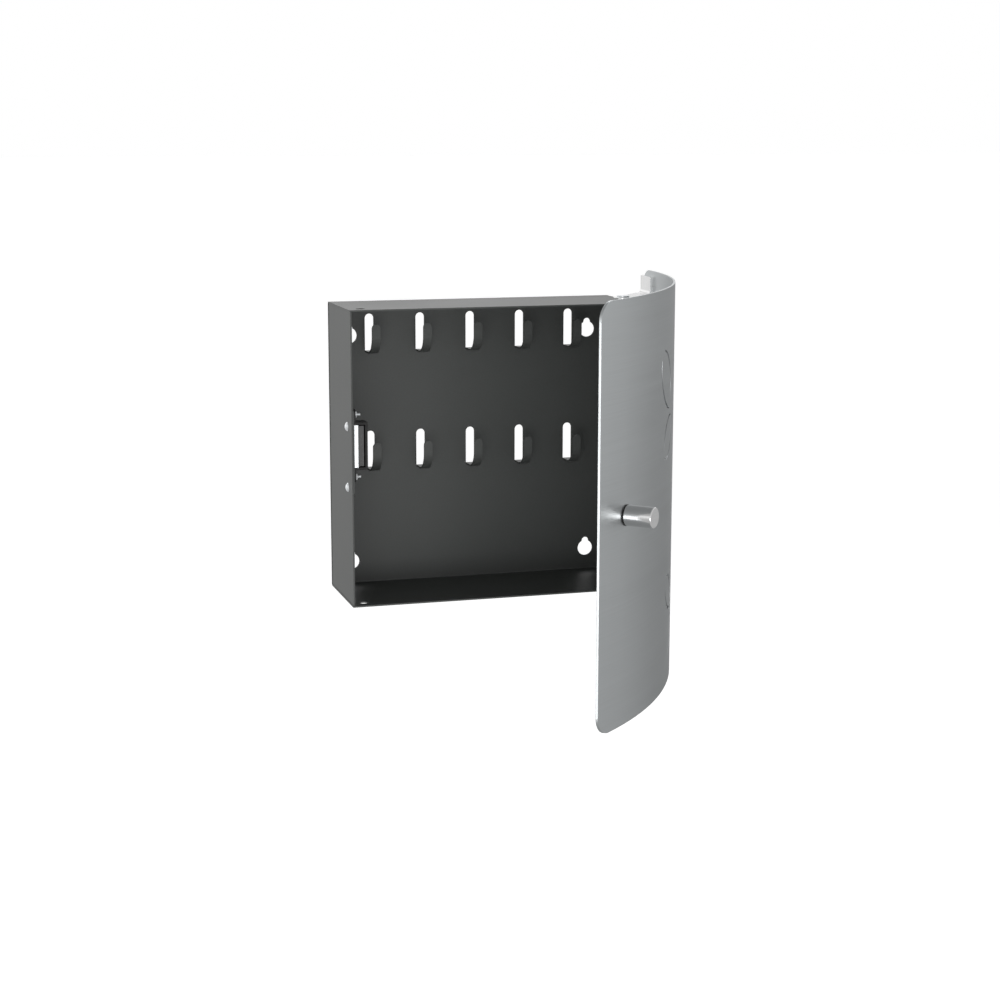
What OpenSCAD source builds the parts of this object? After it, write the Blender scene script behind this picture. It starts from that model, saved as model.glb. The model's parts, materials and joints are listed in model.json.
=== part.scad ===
// Wall key cabinet: an open sheet steel box with a row of hooks, four keyholes and
// a magnetic catch, closed by a curved stainless steel door that turns on two pins.
// The origin is the centre of the four keyholes on the box's rear face.
// +X is right, +Y goes into the wall, +Z is up. Lengths are in millimetres.
// The door's parts are drawn closed, then turned open about the hinge pins.

/* [Box] */
// Width of the box
box_w = 190; // [184:1:200]
// Height of the box
box_h = 188; // [184:1:200]
// Depth of the box, from the wall to its open front
box_d = 67; // [60:1:80]
// Thickness of the steel sheet
sheet = 1; // [0.8:0.1:1.2]
// How far the side walls stand in from the edges of the folded pan
seam_step = 0.3; // [0.2:0.1:0.5]

/* [Hooks] */
// Distance between two hooks in a row
hook_pitch = 34; // [33:0.5:36]
// Width of a hook and of its slot
hook_w = 5.8; // [5:0.2:7]
// How far a hook stands out from the back panel
hook_reach = 21; // [16:1:24]
// How far a hook's tip rises above its foot
hook_rise = 19; // [16:1:24]
// Height of the slot above each hook's foot
slot_h = 24; // [20:1:26]
// Height of the upper row's feet
upper_row = 65; // [60:1:67]
// Height of the lower row's feet
lower_row = -12; // [-16:1:-8]

/* [Keyholes] */
// Distance between the keyholes across the box
keyhole_x = 163; // [162:0.5:168]
// Distance between the keyholes up the box
keyhole_z = 150; // [140:1:152]
// Radius of the round opening that passes the screw's head
keyhole_r = 5.2; // [4.5:0.1:5.6]
// Radius of the notch that takes the screw's shank
shank_r = 2.4; // [2:0.1:2.6]
// How far the notch's centre lies above the round opening's centre
shank_rise = 5; // [4.5:0.1:5.5]

/* [Door] */
// Width of the closed door, straight across
door_w = 258; // [246:1:262]
// Height of the door
door_h = 244; // [235:1:250]
// How far the door hangs below the box
door_drop = 37.5; // [34:0.5:42]
// How far the middle of the door bulges in front of its side edges
door_bulge = 29; // [26:1:34]
// Thickness of the door's sheet
door_t = 1.2; // [1:0.1:1.4]
// Radius of the door's corners
door_corner = 11; // [6:1:16]
// Gap between the closed door's side edges and the front of the box
door_gap = 1.6; // [1.2:0.1:3]
// Angle at which the door stands open
door_open = 64.5; // [40:0.5:80]

/* [Hinge] */
// Distance of the hinge pins from the box's side and front
pin_inset = 8.5; // [8:0.5:9.5]
// Radius of the hinge pins
pin_r = 2; // [1.6:0.1:2.2]
// Radius of the hinge holes, which the bushes fill
hinge_hole_r = 3; // [2.8:0.1:3.2]
// Thickness of the hinge brackets
bracket_t = 2; // [1.5:0.5:2]
// Width of the eye about the hinge pins
eye_w = 12.5; // [11:0.5:13]
// Width of the brackets' leaves on the door
leaf_w = 20; // [14:1:22]
// Height of a bracket's upright leaf
leaf_h = 13.5; // [12:0.5:14]

/* [Catch] */
// Height of the middle of the magnetic catch
catch_z = 12.5; // [5:0.5:20]
// Height of the magnet and its housing
catch_h = 30; // [26:1:32]
// Width of the catch's housing
catch_w = 8.5; // [8:0.5:10]
// Distance between the two studs that carry the housing
stud_pitch = 39.2; // [38:0.2:42]
// Distance between the two rivets that carry the bracket
rivet_pitch = 38.8; // [38:0.2:40]

/* [Knob] */
// Distance of the knob from the middle of the closed door
knob_x = 100; // [92:1:104]
// Radius of the knob
knob_r = 6; // [5:0.5:8]
// Length of the knob
knob_l = 17.5; // [14:0.5:24]

/* [Leaf cut-outs] */
// Width of the lines cut through the door
cut_w = 2.2; // [1.6:0.2:3]

/* [Hidden] */
$fn = 96;
eps = 0.01;
// The box
box_floor = -90.5;
box_top = box_floor + box_h;
half_w = box_w / 2;
wall_x = half_w - seam_step - sheet;
bend_r = 2;
// The hooks
hook_bend = 12;
hook_columns = [for (i = [-2 : 2]) i * hook_pitch];
// The hinge: the pins' axis, and heights counted from the plate that carries each
pin_x = half_w - pin_inset;
pin_y = pin_inset - box_d;
flange_r = 5.2;
flange_t = 1;
lip_r = 3.8;
lip_t = 0.8;
hinge_play = 0.2;
bush_play = 0.05;
tab_z = flange_t + hinge_play;
head_r = 4;
head_t = 1.2;
clip_r = 3.8;
clip_t = 0.8;
clip_z = -sheet - lip_t - hinge_play - clip_t;
pin_end = clip_z - 0.5;
bracket_bend = 4.5;
tab_neck = 0.3;
// The door: an arc about the upright axis at door_y
door_floor = box_floor - door_drop;
door_r = (door_w * door_w / 4 + door_bulge * door_bulge) / (2 * door_bulge);
door_in = door_r - door_t;
door_y = door_r - door_bulge - door_gap - box_d;
door_half = asin(door_w / 2 / door_r);
leaf_turn = 2 * asin(leaf_w / 2 / door_in);
leaf_edge = door_half - 0.15;
// The catch, counted from the inside of the left wall
carrier_t = 0.8;
carrier_d = 19;
carrier_end = 3.6;
catch_x = carrier_t - wall_x;
catch_y = 0.4 - box_d;
catch_d = 9.6;
shell_t = 1.6;
pole_t = 2.4;
pole_proud = 0.3;
magnet_inset = 0.8;
magnet_gap = 0.7;
ear_t = 1;
ear_w = 6.4;
ear_end = 0.5;
stud_r = 1;
stud_y = catch_y + 3.5;
stud_l = 5.4;
nut_r = 2.2;
nut_t = 1.2;
rivet_z = 4;
rivet_y = 13 - box_d;
rivet_r = 1.6;
rivet_head_r = 3;
rivet_head_t = 1.6;
rivet_dome_r = (rivet_head_r * rivet_head_r + rivet_head_t * rivet_head_t)
    / (2 * rivet_head_t);
rivet_tail_r = 2.4;
rivet_tail_t = 0.8;
// The strike inside the door
strike_gap = 0.4;
strike_t = 1.2;
strike_w = 12;
strike_x = -wall_x + 0.7;
strike_foot = 12;
strike_h = 26;
// The knob
knob_z = door_floor + door_h / 2;
ring_r = knob_r + 0.1;
ring_t = 0.8;
ring_sink = 0.3;
seat_play = 0.05;
knob_edge = 0.6;
screw_r = 2;
screw_l = 10;
screw_head_r = 3.6;
screw_head_t = 2.2;
socket_r = 1.6;
socket_t = 1.4;
washer_r = 5;
washer_t = 0.8;
// Leaves: middle x and z, length, width and lean of each
leaves = [[-26, 62, 46, 27, 38], [-19, 27, 36, 22, 128], [34, 60, 44, 26, -34],
    [31, 25, 36, 22, -126], [-9, -70, 34, 20, 52], [32, -82, 34, 20, -52]];
leaf_bridge = 1.2;
leaf_share = 0.84;
stem_r = 260;
stem_x = 9;
stem_low = -112;
stem_high = 38;

steel_black = [0.20, 0.21, 0.21];
stainless = [0.66, 0.67, 0.68];
polished = [0.85, 0.86, 0.88];
zinc = [0.72, 0.73, 0.74];
black_plastic = [0.05, 0.05, 0.05];
ferrite = [0.25, 0.25, 0.26];

// Helpers

// Stands a drawing made in X and Z upright, and gives it depth towards the front.
module front_view(depth) {
    rotate([90, 0, 0]) linear_extrude(depth) children();
}

// Stands a drawing made in Y and Z upright, and gives it width towards +X.
module side_view(width) {
    rotate([90, 0, 90]) linear_extrude(width) children();
}

// A rectangle with four round corners, drawn from its lower left corner.
module rounded_rect(w, h, r) {
    translate([r, 0]) square([w - 2 * r, h]);
    translate([0, r]) square([w, h - 2 * r]);
    for (x = [r, w - r], y = [r, h - r]) translate([x, y]) circle(r);
}

// A bar with round ends between two heights, centred on x = 0.
module capsule(w, low, high) {
    translate([-w / 2, low + w / 2]) square([w, high - low - w]);
    for (z = [low + w / 2, high - w / 2]) translate([0, z]) circle(w / 2);
}

// A ring drawn flat.
module ring(outer, inner) {
    difference() {
        circle(outer);
        circle(inner);
    }
}

// Turns the closed door's parts to where the door stands open.
module opened() {
    translate([pin_x, pin_y, 0]) rotate([0, 0, door_open])
        translate([-pin_x, -pin_y, 0]) children();
}

// Places a part on the upper hinge, with z = 0 on top of the box.
module at_upper_hinge() {
    translate([0, 0, box_top]) children();
}

// Mirrors a part of the upper hinge to the lower one.
module at_lower_hinge() {
    translate([0, 0, box_floor]) mirror([0, 0, 1]) children();
}

// Places a part on the door's outer face where the knob sits, with +Z outwards.
module at_knob() {
    translate([0, door_y, knob_z]) rotate([0, 0, -asin(knob_x / door_r)])
        translate([0, -door_r, 0]) rotate([90, 0, 0]) children();
}

// The box

// The space inside the folded pan, seen from the side.
module pan_space() {
    translate([-2 * box_d, box_floor + sheet])
        rounded_rect(2 * box_d - sheet, box_h - 2 * sheet, bend_r - sheet);
}

module pan_section() {
    intersection() {
        difference() {
            translate([-2 * box_d, box_floor]) rounded_rect(2 * box_d, box_h, bend_r);
            pan_space();
        }
        translate([-box_d, box_floor - 1]) square([box_d + 1, box_h + 2]);
    }
}

module hook_slot() {
    translate([-hook_w / 2, 0]) square([hook_w, slot_h - hook_w / 2]);
    translate([0, slot_h - hook_w / 2]) circle(hook_w / 2);
}

module keyhole() {
    circle(keyhole_r);
    translate([-shank_r, 0]) square([2 * shank_r, shank_rise]);
    translate([0, shank_rise]) circle(shank_r);
}

module back_openings() {
    for (x = hook_columns, z = [upper_row, lower_row]) translate([x, z]) hook_slot();
    for (x = [-1, 1], z = [-1, 1])
        translate([x * keyhole_x / 2, z * keyhole_z / 2]) keyhole();
}

module folded_pan() {
    color(steel_black) difference() {
        translate([-half_w, 0, 0]) side_view(box_w) pan_section();
        translate([0, 1, 0]) front_view(sheet + 2) back_openings();
        for (side = [-1, 1]) translate([side * pin_x, pin_y, box_floor - 1])
            cylinder(r = hinge_hole_r, h = box_h + 2);
    }
}

module side_wall(x) {
    translate([x, 0, 0]) side_view(sheet) intersection() {
        pan_space();
        translate([-box_d, box_floor]) square([box_d, box_h]);
    }
}

module left_wall() {
    color(steel_black) difference() {
        side_wall(-wall_x - sheet);
        translate([-half_w - 1, 0, 0]) side_view(sheet + 2) rivet_centres()
            circle(rivet_r);
    }
}

module right_wall() {
    color(steel_black) side_wall(wall_x);
}

// A hook seen from the side: a foot, a quarter turn and an upright tip.
module hook_section() {
    foot = hook_reach - hook_bend;
    translate([-foot - sheet, -sheet]) square([foot, sheet]);
    translate([-foot - sheet, hook_bend - sheet]) intersection() {
        ring(hook_bend, hook_bend - sheet);
        translate([-hook_bend, -hook_bend]) square(hook_bend);
    }
    translate([-hook_reach - sheet, hook_bend - sheet])
        square([sheet, hook_rise - hook_bend + sheet]);
}

module hook_front() {
    translate([-hook_w / 2, -2 * sheet])
        square([hook_w, hook_rise + 2 * sheet - hook_w / 2]);
    translate([0, hook_rise - hook_w / 2]) circle(hook_w / 2);
}

module hook_row(z) {
    color(steel_black) for (x = hook_columns) translate([x, 0, z]) intersection() {
        translate([-hook_w / 2, 0, 0]) side_view(hook_w) hook_section();
        front_view(hook_reach + 2 * sheet) hook_front();
    }
}

module upper_hooks() {
    hook_row(upper_row);
}

module lower_hooks() {
    hook_row(lower_row);
}

// The catch on the left wall

module rivet_centres() {
    for (side = [-1, 1])
        translate([rivet_y, rivet_z + side * rivet_pitch / 2]) children();
}

module stud_centres() {
    for (side = [-1, 1])
        translate([stud_y, catch_z + side * stud_pitch / 2]) children();
}

module catch_bracket() {
    low = rivet_z - rivet_pitch / 2 - carrier_end;
    high = catch_z + stud_pitch / 2 + carrier_end;
    color(steel_black) translate([-wall_x, 0, 0]) side_view(carrier_t) difference() {
        translate([catch_y, low]) rounded_rect(carrier_d, high - low, 2);
        rivet_centres() circle(rivet_r);
        stud_centres() circle(stud_r);
    }
}

// One rivet, with its shank along Z and its domed head's foot at z = 0.
module rivet() {
    grip = sheet + carrier_t;
    rotate_extrude() {
        translate([0, -eps]) square([rivet_r, grip + 2 * eps]);
        intersection() {
            translate([0, -rivet_dome_r]) square([rivet_dome_r, rivet_dome_r]);
            translate([0, rivet_dome_r - rivet_head_t]) circle(rivet_dome_r);
        }
        translate([0, grip]) square([rivet_tail_r, rivet_tail_t]);
    }
}

module catch_rivets() {
    color(zinc) for (side = [-1, 1])
        translate([-wall_x - sheet, rivet_y, rivet_z + side * rivet_pitch / 2])
            rotate([0, 90, 0]) rivet();
}

module catch_studs() {
    color(zinc) translate([-wall_x, 0, 0]) side_view(stud_l)
        stud_centres() circle(stud_r);
}

module catch_nuts() {
    color(zinc) translate([catch_x + ear_t, 0, 0]) side_view(nut_t)
        stud_centres() difference() {
            circle(nut_r, $fn = 6);
            circle(stud_r);
        }
}

// A black shell that is open to the front and towards the wall, with two ears.
module catch_housing() {
    low = catch_z - catch_h / 2;
    ear_low = catch_z - stud_pitch / 2 - ear_w / 2 - ear_end;
    color(black_plastic) difference() {
        union() {
            translate([catch_x, catch_y, low]) cube([catch_w, catch_d, catch_h]);
            translate([catch_x, stud_y, 0]) side_view(ear_t)
                capsule(ear_w, ear_low, 2 * catch_z - ear_low);
        }
        translate([catch_x - 1, catch_y - 1, low + shell_t])
            cube([catch_w - shell_t + 1, catch_d - shell_t + 1, catch_h - 2 * shell_t]);
        translate([catch_x - 1, 0, 0]) side_view(ear_t + 2) stud_centres() circle(stud_r);
    }
}

module catch_magnet() {
    low = catch_z - catch_h / 2 + shell_t + magnet_gap;
    color(ferrite) translate([catch_x + pole_t, catch_y + magnet_inset, low])
        cube([catch_w - shell_t - pole_t - magnet_gap, catch_d - shell_t - magnet_inset,
            catch_h - 2 * shell_t - 2 * magnet_gap]);
}

module catch_pole() {
    low = catch_z - catch_h / 2 + shell_t;
    color(zinc) translate([catch_x, catch_y - pole_proud, low])
        cube([pole_t, catch_d - shell_t + pole_proud, catch_h - 2 * shell_t]);
}

// The hinge bushes

module bush() {
    bore = pin_r + bush_play;
    translate([pin_x, pin_y, 0]) rotate_extrude() {
        translate([bore, 0]) square([flange_r - bore, flange_t]);
        translate([bore, -sheet]) square([hinge_hole_r - bore, sheet]);
        translate([bore, -sheet - lip_t]) square([lip_r - bore, lip_t]);
    }
}

module upper_bush() {
    color(black_plastic) at_upper_hinge() bush();
}

module lower_bush() {
    color(black_plastic) at_lower_hinge() bush();
}

// The door

// Half of a leaf's outline: a line that swells in the middle and ends in points.
module leaf_line(l, w) {
    bow = w / 2;
    r = (l * l / 4 + bow * bow) / (2 * bow);
    inner_bow = bow - cut_w;
    inner_r = (l * l / 4 + inner_bow * inner_bow) / (2 * inner_bow);
    intersection() {
        difference() {
            translate([bow - r, 0]) circle(r, $fn = 180);
            translate([inner_bow - inner_r, 0]) circle(inner_r, $fn = 180);
        }
        translate([leaf_bridge / 2, -leaf_share * l / 2]) square([w, leaf_share * l]);
    }
}

module leaf(l, w) {
    leaf_line(l, w);
    mirror([1, 0]) leaf_line(l, w);
}

module stem() {
    middle = (stem_low + stem_high) / 2;
    intersection() {
        translate([stem_x - stem_r, middle])
            difference() {
                circle(stem_r + cut_w / 2, $fn = 360);
                circle(stem_r - cut_w / 2, $fn = 360);
            }
        translate([-20, stem_low]) square([60, stem_high - stem_low]);
    }
}

module door_openings() {
    for (l = leaves) translate([l[0], l[1]]) rotate(l[4]) leaf(l[2], l[3]);
    stem();
}

module door_sheet() {
    intersection() {
        translate([0, door_y, 0]) difference() {
            translate([0, 0, door_floor]) cylinder(r = door_r, h = door_h, $fn = 720);
            translate([0, 0, door_floor - 1])
                cylinder(r = door_in, h = door_h + 2, $fn = 720);
        }
        translate([0, 1 - box_d, 0]) front_view(door_bulge + door_gap + 4) difference() {
            translate([-door_w / 2, door_floor]) rounded_rect(door_w, door_h, door_corner);
            door_openings();
        }
    }
}

module door_panel() {
    color(stainless) opened() difference() {
        door_sheet();
        at_knob() translate([0, 0, -2 * door_t]) cylinder(r = screw_r, h = 3 * door_t);
    }
}

// The side view of a bracket: its upright leaf, and the bend that leads to its tab.
module bracket_section(face) {
    translate([-face, tab_z + bracket_bend]) square([bracket_t, leaf_h - bracket_bend]);
    translate([bracket_bend - face, tab_z + bracket_bend]) intersection() {
        ring(bracket_bend, bracket_bend - bracket_t);
        translate([-bracket_bend, -bracket_bend]) square(bracket_bend);
    }
}

// The tab from above: an eye about the pin, and an arm that runs to the bend.
module tab_outline(eye, root) {
    arm = [0, root] - eye;
    across = (eye_w / 2 - tab_neck) * [-arm.y, arm.x] / norm(arm);
    translate(eye) circle(eye_w / 2);
    polygon([[leaf_w / 2, root], eye + across, eye - across, [-leaf_w / 2, root]]);
}

// The bracket is flat, so its leaf lies inside the door like a chord in the arc.
module bracket() {
    middle = leaf_edge - leaf_turn / 2;
    face = door_in * cos(leaf_turn / 2) - seat_play;
    away = [pin_x, pin_y - door_y];
    eye = [away.x * cos(middle) + away.y * sin(middle),
        away.y * cos(middle) - away.x * sin(middle)];
    translate([0, door_y, 0]) rotate([0, 0, middle]) difference() {
        union() {
            translate([-leaf_w / 2, 0, 0]) side_view(leaf_w) bracket_section(face);
            translate([0, 0, tab_z]) linear_extrude(bracket_t)
                tab_outline(eye, bracket_bend - face);
        }
        translate([eye.x, eye.y, 0]) cylinder(r = pin_r, h = tab_z + bracket_t + 1);
    }
}

module upper_hinge_bracket() {
    color(polished) opened() at_upper_hinge() bracket();
}

module lower_hinge_bracket() {
    color(polished) opened() at_lower_hinge() bracket();
}

module hinge_pin() {
    translate([pin_x, pin_y, 0]) rotate_extrude() {
        translate([0, pin_end]) square([pin_r, tab_z + bracket_t - pin_end]);
        translate([0, tab_z + bracket_t]) square([head_r, head_t]);
    }
}

module upper_hinge_pin() {
    color(zinc) opened() at_upper_hinge() hinge_pin();
}

module lower_hinge_pin() {
    color(zinc) opened() at_lower_hinge() hinge_pin();
}

module pin_clip() {
    translate([pin_x, pin_y, clip_z]) linear_extrude(clip_t) ring(clip_r, pin_r);
}

module pin_clips() {
    color(zinc) opened() {
        at_upper_hinge() pin_clip();
        at_lower_hinge() pin_clip();
    }
}

module knob() {
    edge = knob_edge;
    color(polished) opened() at_knob() difference() {
        rotate_extrude() {
            translate([0, ring_t]) square([knob_r, knob_l - ring_t - edge]);
            translate([0, knob_l - edge]) square([knob_r - edge, edge]);
            translate([knob_r - edge, knob_l - edge]) circle(edge);
        }
        translate([0, 0, -1]) cylinder(r = screw_r, h = screw_l - door_t - washer_t + 1);
    }
}

// The black ring under the knob; its foot follows the curve of the door.
module knob_ring() {
    color(black_plastic) opened() difference() {
        at_knob() translate([0, 0, -ring_sink]) linear_extrude(ring_t + ring_sink)
            ring(ring_r, screw_r);
        translate([0, door_y, knob_z - 20]) cylinder(r = door_r, h = 40, $fn = 720);
    }
}

module knob_screw() {
    color(zinc) opened() at_knob() translate([0, 0, -door_t - washer_t - seat_play]) {
        translate([0, 0, -screw_head_t]) difference() {
            cylinder(r = screw_head_r, h = screw_head_t);
            translate([0, 0, -1]) cylinder(r = socket_r, h = socket_t + 1, $fn = 6);
        }
        cylinder(r = screw_r, h = screw_l);
    }
}

module knob_washer() {
    color(zinc) opened() at_knob() translate([0, 0, -door_t - washer_t - seat_play])
        linear_extrude(washer_t) ring(washer_r, screw_r);
}

// A stepped steel tab that carries the magnet's pull to the door.
module strike_bracket() {
    face_y = -box_d - strike_gap - strike_t;
    leg_x = strike_x + strike_w;
    leg_far = door_y - sqrt(door_in * door_in - leg_x * leg_x);
    low = catch_z - strike_h / 2 + 1;
    color(zinc) opened() translate([0, 0, low]) {
        translate([strike_x, face_y, 0]) cube([strike_w, strike_t, strike_h]);
        intersection() {
            translate([leg_x - strike_t, leg_far - strike_foot, 0])
                cube([strike_t, face_y - leg_far + strike_foot + strike_t, strike_h]);
            translate([0, door_y, 0]) cylinder(r = door_in, h = strike_h, $fn = 720);
        }
        intersection() {
            translate([0, door_y, 0]) linear_extrude(strike_h) difference() {
                circle(door_in, $fn = 720);
                circle(door_in - strike_t, $fn = 720);
            }
            translate([leg_x - strike_t, leg_far - strike_foot, 0])
                cube([strike_foot, 2 * strike_foot, strike_h]);
        }
    }
}

folded_pan();
left_wall();
right_wall();
upper_hooks();
lower_hooks();
catch_bracket();
catch_rivets();
catch_studs();
catch_nuts();
catch_housing();
catch_magnet();
catch_pole();
upper_bush();
lower_bush();
door_panel();
upper_hinge_bracket();
lower_hinge_bracket();
upper_hinge_pin();
lower_hinge_pin();
pin_clips();
knob();
knob_ring();
knob_screw();
knob_washer();
strike_bracket();
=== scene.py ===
import json
import math

import bpy
from mathutils import Matrix, Vector


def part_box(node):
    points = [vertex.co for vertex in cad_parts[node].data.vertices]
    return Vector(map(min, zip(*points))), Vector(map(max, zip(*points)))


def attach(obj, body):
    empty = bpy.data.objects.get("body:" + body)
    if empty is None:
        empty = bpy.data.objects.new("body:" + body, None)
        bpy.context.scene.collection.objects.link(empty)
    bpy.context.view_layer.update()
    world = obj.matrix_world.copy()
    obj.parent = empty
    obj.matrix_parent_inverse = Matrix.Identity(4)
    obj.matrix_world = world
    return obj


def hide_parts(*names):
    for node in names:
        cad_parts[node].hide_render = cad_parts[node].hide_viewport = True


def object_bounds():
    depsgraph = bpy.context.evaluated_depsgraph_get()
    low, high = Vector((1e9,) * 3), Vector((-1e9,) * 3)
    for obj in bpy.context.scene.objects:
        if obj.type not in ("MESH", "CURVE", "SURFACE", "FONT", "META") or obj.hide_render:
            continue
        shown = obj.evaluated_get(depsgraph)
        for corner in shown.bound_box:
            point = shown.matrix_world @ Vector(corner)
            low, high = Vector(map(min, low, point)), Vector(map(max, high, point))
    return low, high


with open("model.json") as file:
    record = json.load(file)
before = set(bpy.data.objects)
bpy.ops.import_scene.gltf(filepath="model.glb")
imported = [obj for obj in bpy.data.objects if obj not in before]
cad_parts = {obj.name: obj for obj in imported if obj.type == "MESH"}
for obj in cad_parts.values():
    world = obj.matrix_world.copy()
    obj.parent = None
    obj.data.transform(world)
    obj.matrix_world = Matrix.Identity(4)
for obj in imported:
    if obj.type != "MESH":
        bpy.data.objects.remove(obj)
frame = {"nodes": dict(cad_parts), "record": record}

MM = 0.001
TURN = 2 * math.pi
FLOOR_DROP = 0.30
THREAD_PITCH = 0.4 * MM
THREAD_DEPTH = 0.12 * MM
STUD_CHAMFER = 0.3 * MM
NUT_LEAD_IN = 0.25 * MM
CAMERA_AT = (-0.3581, -1.2948, 0.2102)
CAMERA_YAW, CAMERA_PITCH, CAMERA_ROLL = 0.28493, 0.18267, 0.0006
CAMERA_LENS = 73.24
cad_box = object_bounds()


# Shader maths

class Wire:
    """One output of a node in a finish. Sums on it add Math nodes."""

    def __init__(self, tree, socket):
        self.tree = tree
        self.socket = socket

    def node(self, kind, settings=None, inputs=None, output=0):
        """Adds a node: its settings first, then its inputs' values or links."""
        made = self.tree.nodes.new(kind)
        for key, value in (settings or {}).items():
            if key == "stops":
                set_stops(made.color_ramp, value)
            else:
                setattr(made, key, value)
        for key, value in (inputs or {}).items():
            if isinstance(value, Wire):
                self.tree.links.new(value.socket, made.inputs[key])
            else:
                made.inputs[key].default_value = value
        return Wire(self.tree, made.outputs[output] if len(made.outputs) else None)

    def sum(self, operation, *values):
        return self.node("ShaderNodeMath", {"operation": operation},
                         dict(enumerate(values)))

    def __add__(self, other):
        return self.sum("ADD", self, other)

    def __radd__(self, other):
        return self.sum("ADD", other, self)

    def __sub__(self, other):
        return self.sum("SUBTRACT", self, other)

    def __rsub__(self, other):
        return self.sum("SUBTRACT", other, self)

    def __mul__(self, other):
        return self.sum("MULTIPLY", self, other)

    def __rmul__(self, other):
        return self.sum("MULTIPLY", other, self)

    def above(self, level, soft):
        """0 below the level and 1 above it, with a soft step between."""
        return self.node("ShaderNodeMapRange", {"interpolation_type": "SMOOTHSTEP"},
                         {"Value": self, "From Min": level - soft,
                          "From Max": level + soft})

    def scaled(self, scale):
        return self.node("ShaderNodeVectorMath", {"operation": "MULTIPLY"},
                         {0: self, 1: scale})

    def along(self, axis):
        """How far a place lies along an axis, in metres."""
        return self.node("ShaderNodeVectorMath", {"operation": "DOT_PRODUCT"},
                         {0: self, 1: axis}, output="Value")

    def from_point(self, point):
        return self.node("ShaderNodeVectorMath", {"operation": "SUBTRACT"},
                         {0: self, 1: point})

    def noise(self, scale, detail=2.0, rough=0.5):
        """Noise whose grain is 1/scale metres along each axis."""
        return self.node(
            "ShaderNodeTexNoise", None,
            {"Vector": self.scaled(scale), "Scale": 1.0, "Detail": detail,
             "Roughness": rough}, output="Fac")

    def blend(self, low, high):
        """A colour between two, by this value."""
        return self.node("ShaderNodeMix", {"data_type": "RGBA"},
                         {"Factor": self, 6: low, 7: high}, output=2)


def set_stops(ramp, stops):
    while len(ramp.elements) > 1:
        ramp.elements.remove(ramp.elements[-1])
    for index, (place, colour) in enumerate(stops):
        element = ramp.elements[0] if index == 0 else ramp.elements.new(place)
        element.position = place
        element.color = colour


def start_finish(name):
    """A new material, and the wire of places on the piece in metres."""
    material = bpy.data.materials.new(name)
    material.use_nodes = True
    tree = material.node_tree
    tree.nodes.clear()
    place = Wire(tree, None).node("ShaderNodeTexCoord", output="Object")
    return material, place


def end_finish(place, height, depth, edge, strength, **sockets):
    """Adds the surface: a bump of that depth in metres over edges rounded to that
    radius, and the shader's own sockets."""
    rounded = place.node("ShaderNodeBevel", {"samples": 4}, {"Radius": edge})
    bump = place.node("ShaderNodeBump", None,
                      {"Height": height, "Distance": depth, "Strength": strength,
                       "Normal": rounded})
    inputs = {key.replace("_", " "): value for key, value in sockets.items()}
    inputs["Normal"] = bump
    surface = place.node("ShaderNodeBsdfPrincipled", None, inputs, output="BSDF")
    place.node("ShaderNodeOutputMaterial", None, {"Surface": surface})


def grey(level, tint=(1.0, 1.0, 1.0)):
    return (level * tint[0], level * tint[1], level * tint[2], 1.0)


def powder_coat():
    """Matt dark powder coat: a fine orange peel, with faint uneven sheen."""
    material, place = start_finish("powder_coat")
    peel = place.noise((900, 900, 900), 2.0)
    grain = place.noise((3200, 3200, 3200), 1.0)
    haze = place.noise((14, 14, 14), 3.0)
    tone = 0.35 * peel + 0.30 * grain + 0.35 * haze
    tint = (0.97, 1.04, 0.99)
    end_finish(place, 0.6 * peel + 0.4 * grain, 0.05 * MM, 0.35 * MM, 0.35,
               Base_Color=tone.blend(grey(0.030, tint), grey(0.060, tint)),
               Roughness=0.40 + 0.10 * haze + 0.08 * grain,
               Specular_IOR_Level=0.5)
    return material


def brushed_stainless():
    """Stainless sheet with fine level brush lines."""
    material, place = start_finish("brushed_stainless")
    hair = place.noise((22, 22, 5200), 3.0, 0.6)
    strand = place.noise((9, 9, 1300), 2.0, 0.6)
    band = place.noise((3, 3, 190), 2.0)
    lines = 0.50 * hair + 0.32 * strand + 0.18 * band
    end_finish(place, lines, 0.02 * MM, 0.3 * MM, 0.35,
               Base_Color=lines.blend(grey(0.40, (0.96, 1.0, 1.015)),
                                      grey(0.56, (0.96, 1.0, 1.015))),
               Metallic=1.0,
               Roughness=0.24 + 0.22 * hair + 0.06 * band)
    return material


def polished_steel():
    """Polished steel with hairline scratches and faint smears."""
    material, place = start_finish("polished_steel")
    smear = place.noise((90, 90, 60), 2.0)
    scratch = place.noise((4200, 4200, 160), 2.0)
    end_finish(place, scratch, 0.004 * MM, 0.3 * MM, 0.3,
               Base_Color=smear.blend(grey(0.66), grey(0.78)),
               Metallic=1.0,
               Roughness=0.07 + 0.07 * smear + 0.05 * scratch)
    return material


def turned_knob():
    """Polished side with fine turning marks, and an end face brushed straight."""
    material, place = start_finish("turned_knob")
    foot = sum(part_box("knob_washer"), Vector()) / 2
    middle = sum(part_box("knob"), Vector()) / 2
    axis = (middle - foot).normalized()
    depth = place.from_point(foot).along(axis)
    face_at = face_distance("knob", foot, axis)
    face = depth.above(face_at - 0.25 * MM, 0.1 * MM)
    turning = depth.node("ShaderNodeTexNoise", {"noise_dimensions": "1D"},
                         {"W": depth, "Scale": 5200.0, "Detail": 2.0}, output="Fac")
    brushing = place.noise((60, 60, 4200), 2.0)
    marks = face * brushing + (1 - face) * turning
    end_finish(place, marks, 0.010 * MM, 0.25 * MM, 0.35,
               Base_Color=marks.blend(grey(0.60), grey(0.80)),
               Metallic=1.0,
               Roughness=face * (0.26 + 0.16 * brushing)
               + (1 - face) * (0.09 + 0.08 * turning))
    return material


def face_distance(node, foot, axis):
    """How far a node's furthest point lies from a foot along an axis, in metres."""
    return max((v.co - foot).dot(axis) for v in frame["nodes"][node].data.vertices)


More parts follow.
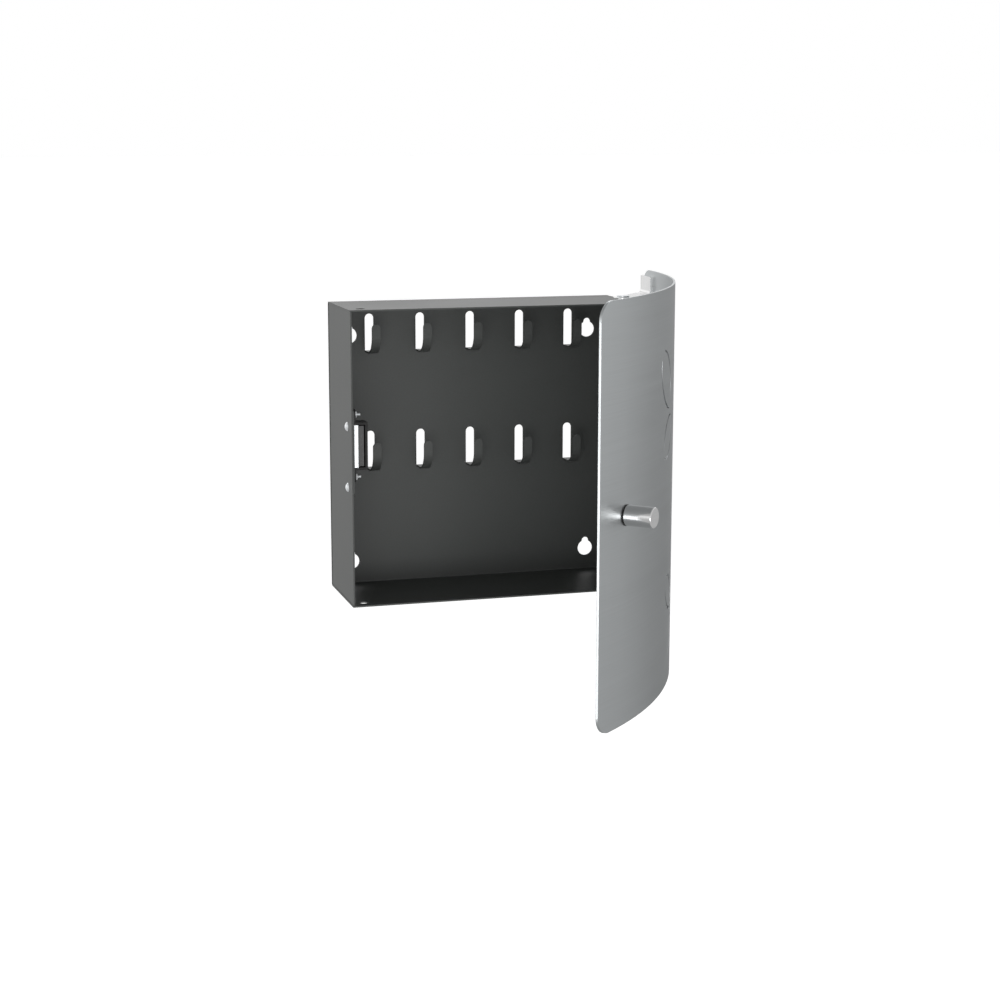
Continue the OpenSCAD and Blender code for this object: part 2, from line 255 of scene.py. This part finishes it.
def zinc_plate():
    """Bright zinc plate: grey crystals, a warm cast here and there."""
    material, place = start_finish("zinc_plate")
    crystal = place.node("ShaderNodeTexVoronoi", None,
                         {"Vector": place, "Scale": 1400.0}, output="Color")
    shade = crystal.along((0.33, 0.33, 0.34))
    cast = place.noise((160, 160, 160), 2.0)
    end_finish(place, shade, 0.006 * MM, 0.15 * MM, 0.3,
               Base_Color=(0.5 * shade + 0.5 * cast).blend(
                   grey(0.62, (0.95, 1.0, 1.04)), grey(0.84, (0.99, 1.0, 1.0))),
               Metallic=0.85,
               Roughness=0.30 + 0.16 * shade)
    return material


def moulded_plastic():
    """Black moulded plastic with a fine spark-eroded grain."""
    material, place = start_finish("moulded_plastic")
    grain = place.noise((2600, 2600, 2600), 2.0)
    rub = place.noise((120, 120, 120), 2.0)
    end_finish(place, grain, 0.02 * MM, 0.2 * MM, 0.5,
               Base_Color=rub.blend(grey(0.006), grey(0.016)),
               Roughness=0.42 + 0.16 * grain,
               Specular_IOR_Level=0.25)
    return material


def ground_ferrite():
    """Ground ferrite: dark grey and granular, with light specks."""
    material, place = start_finish("ground_ferrite")
    grain = place.noise((3600, 3600, 3600), 3.0, 0.7)
    speck = place.noise((1500, 1500, 1500), 1.0).above(0.66, 0.04)
    end_finish(place, grain, 0.03 * MM, 0.15 * MM, 0.6,
               Base_Color=(0.6 * grain + 0.4 * speck).blend(grey(0.05), grey(0.16)),
               Metallic=0.35,
               Roughness=0.55 + 0.2 * grain)
    return material


# Small turned pieces

def new_piece(name, points, faces, body, slot, material, replaced):
    mesh = bpy.data.meshes.new(name)
    mesh.from_pydata(points, [], faces)
    mesh.validate()
    mesh.materials.append(material)
    piece = bpy.data.objects.new(name, mesh)
    bpy.context.scene.collection.objects.link(piece)
    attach(piece, body)
    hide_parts(replaced)
    return piece


def lathe(rings, sides):
    """Points and faces of a closed solid along +X. Each ring is a distance along
    the axis and a function that gives the radius at an angle."""
    points, faces = [], []
    for along, radius in rings:
        for side in range(sides):
            angle = TURN * side / sides
            reach = radius(angle)
            points.append((along, reach * math.cos(angle), reach * math.sin(angle)))
    for ring in range(len(rings) - 1):
        for side in range(sides):
            a = ring * sides + side
            b = ring * sides + (side + 1) % sides
            faces.append((a, b, b + sides, a + sides))
    return points, faces


def capped(points, faces, rings, sides):
    """Closes both ends of a lathe's solid."""
    last = (rings - 1) * sides
    faces = faces + [tuple(range(sides))[::-1], tuple(range(last, last + sides))]
    return points, faces


def joined(parts):
    """Several point and face lists as one."""
    points, faces = [], []
    for more_points, more_faces in parts:
        shift = len(points)
        points += more_points
        faces += [tuple(i + shift for i in f) for f in more_faces]
    return points, faces


def moved(part, to):
    points, faces = part
    return [(x + to[0], y + to[1], z + to[2]) for x, y, z in points], faces


def threaded_stud(length, radius, pitch, thread, chamfer):
    """A stud whose thread winds round it, chamfered at its free end."""
    sides = 32
    steps = 10
    count = round(length / pitch * steps)
    rings = []
    for step in range(count + 1):
        along = length * step / count
        tip = max(0.0, along - (length - chamfer))

        def radius_at(angle, along=along, tip=tip):
            turn = (along / pitch - angle / TURN) % 1.0
            groove = thread * abs(2 * turn - 1) ** 0.7
            return min(radius - groove, radius - tip)
        rings.append((along, radius_at))
    return capped(*lathe(rings, sides), len(rings), sides)


def hex_nut(height, apothem, bore):
    """A hexagon nut with its corners chamfered, and a bore."""
    sides = 72
    slope = math.tan(math.radians(30))

    def hexagon(angle):
        return apothem / math.cos(angle % (TURN / 6) - TURN / 12)

    def chamfered(angle, rise):
        return min(hexagon(angle), apothem * 0.97 + rise / slope)
    levels = [0.0, 0.06, 0.13, 0.22]
    rings = [(0.0, lambda angle: bore + NUT_LEAD_IN)]
    rings += [(h * height, lambda angle, h=h: chamfered(angle, h * height)) for h in levels]
    rings += [(height - h * height, lambda angle, h=h: chamfered(angle, h * height))
              for h in reversed(levels)]
    rings += [(height, lambda angle: bore + NUT_LEAD_IN),
              (height - NUT_LEAD_IN, lambda angle: bore),
              (NUT_LEAD_IN, lambda angle: bore)]
    points, faces = lathe(rings, sides)
    last = (len(rings) - 1) * sides
    faces += [(last + s, last + (s + 1) % sides, (s + 1) % sides, s) for s in range(sides)]
    return points, faces


def stud_places():
    """The two studs' feet on the wall, and their length and radius."""
    low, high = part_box("catch_studs")
    radius = (high.y - low.y) / 2
    middle = (low.y + high.y) / 2
    feet = [(low.x, middle, low.z + radius), (low.x, middle, high.z - radius)]
    return feet, high.x - low.x, radius


def catch_hardware(material):
    feet, length, radius = stud_places()
    stud = threaded_stud(length, radius, THREAD_PITCH, THREAD_DEPTH, STUD_CHAMFER)
    new_piece("threaded_studs", *joined([moved(stud, foot) for foot in feet]),
              "cabinet", "zinc_steel", material, "catch_studs")
    low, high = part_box("catch_nuts")
    nut = hex_nut(high.x - low.x, (high.y - low.y) / 2 * math.cos(TURN / 12), radius)
    new_piece("hexagon_nuts", *joined([moved(nut, (low.x, foot[1], foot[2]))
                                       for foot in feet]),
              "cabinet", "zinc_steel", material, "catch_nuts")


# Finishes

plate = zinc_plate()
FINISH = {
    "black_steel": powder_coat(),
    "brushed_stainless": brushed_stainless(),
    "polished_steel": polished_steel(),
    "zinc_steel": plate,
    "black_plastic": moulded_plastic(),
    "ferrite": ground_ferrite(),
}
for row in frame["record"]["subparts"]:
    mesh = frame["nodes"][row["node"]].data
    mesh.materials.clear()
    mesh.materials.append(FINISH[row["material_slot"]])
knob_mesh = frame["nodes"]["knob"].data
knob_mesh.materials.clear()
knob_mesh.materials.append(turned_knob())
catch_hardware(plate)


# Studio

def stage_floor(level):
    size = 40.0
    mesh = bpy.data.meshes.new("floor")
    mesh.from_pydata([(-size, -size, level), (size, -size, level),
                      (size, size, level), (-size, size, level)], [], [(0, 1, 2, 3)])
    material, place = start_finish("pale_floor")
    dust = place.noise((6, 6, 6), 2.0)
    surface = place.node("ShaderNodeBsdfPrincipled", None,
                         {"Base Color": dust.blend(grey(0.78), grey(0.80)),
                          "Roughness": 0.9, "Emission Color": grey(1.0),
                          "Emission Strength": 0.52}, output="BSDF")
    place.node("ShaderNodeOutputMaterial", None, {"Surface": surface})
    mesh.materials.append(material)
    floor = bpy.data.objects.new("floor", mesh)
    floor.visible_glossy = False
    bpy.context.scene.collection.objects.link(floor)


def softbox(name, at, aim, size, power):
    light = bpy.data.lights.new(name, "AREA")
    light.shape = "RECTANGLE"
    light.size, light.size_y = size
    light.energy = power
    lamp = bpy.data.objects.new(name, light)
    lamp.matrix_world = Matrix.Translation(at) @ (
        Vector(aim) - Vector(at)).to_track_quat("-Z", "Y").to_matrix().to_4x4()
    bpy.context.scene.collection.objects.link(lamp)


def studio_world():
    """A pale room: bright towards the horizon, dim overhead, with a dark wall low
    down on the right and behind, and a bright one behind on the left."""
    world = bpy.data.worlds.new("studio")
    world.use_nodes = True
    tree = world.node_tree
    tree.nodes.clear()
    facing = Wire(tree, None).node("ShaderNodeTexCoord", output="Generated")
    height = facing.along((0.0, 0.0, 1.0))
    behind = facing.along((0.50, 0.87, 0.0))
    room = height.node("ShaderNodeValToRGB",
                       {"stops": [(0.0, grey(0.50)), (0.40, grey(0.62)),
                                  (0.50, grey(0.90)), (0.60, grey(1.15)),
                                  (0.72, grey(0.60)), (1.0, grey(0.45))]},
                       {"Fac": 0.5 + 0.5 * height})
    wall = behind.above(0.78, 0.14) * (1 - height.above(0.06, 0.10))
    pale_wall = facing.along((-0.80, 0.60, 0.0)).above(0.80, 0.14)
    shaded = facing.node("ShaderNodeVectorMath", {"operation": "SCALE"},
                         {0: room, "Scale": 1 - 0.55 * wall + 0.45 * pale_wall})
    seen = facing.node("ShaderNodeLightPath", output="Is Camera Ray")
    colour = seen.blend(shaded, (1.0, 1.0, 1.0, 1.0))
    sky = facing.node("ShaderNodeBackground", None, {"Color": colour, "Strength": 1.0})
    facing.node("ShaderNodeOutputWorld", None, {"Surface": sky})
    bpy.context.scene.world = world


def studio_camera():
    """A long lens, a little above and to the left of the open box."""
    data = bpy.data.cameras.new("camera")
    data.sensor_width = 36.0
    data.lens = CAMERA_LENS
    data.clip_end = 200.0
    camera = bpy.data.objects.new("camera", data)
    camera.matrix_world = (Matrix.Translation(CAMERA_AT)
                           @ Matrix.Rotation(-CAMERA_YAW, 4, "Z")
                           @ Matrix.Rotation(math.pi / 2 - CAMERA_PITCH, 4, "X")
                           @ Matrix.Rotation(CAMERA_ROLL, 4, "Z"))
    bpy.context.scene.collection.objects.link(camera)
    bpy.context.scene.camera = camera


low, high = cad_box
stage_floor(low.z - FLOOR_DROP)
studio_world()
studio_camera()
centre = (low + high) / 2
softbox("front_low", (centre.x - 0.35, low.y - 1.3, low.z - 0.15), centre, (1.1, 0.7),
        11.0)
softbox("back_top", (centre.x - 0.1, high.y + 0.9, high.z + 0.7), centre, (1.2, 0.6), 5.0)
bpy.context.scene.view_settings.view_transform = "Standard"
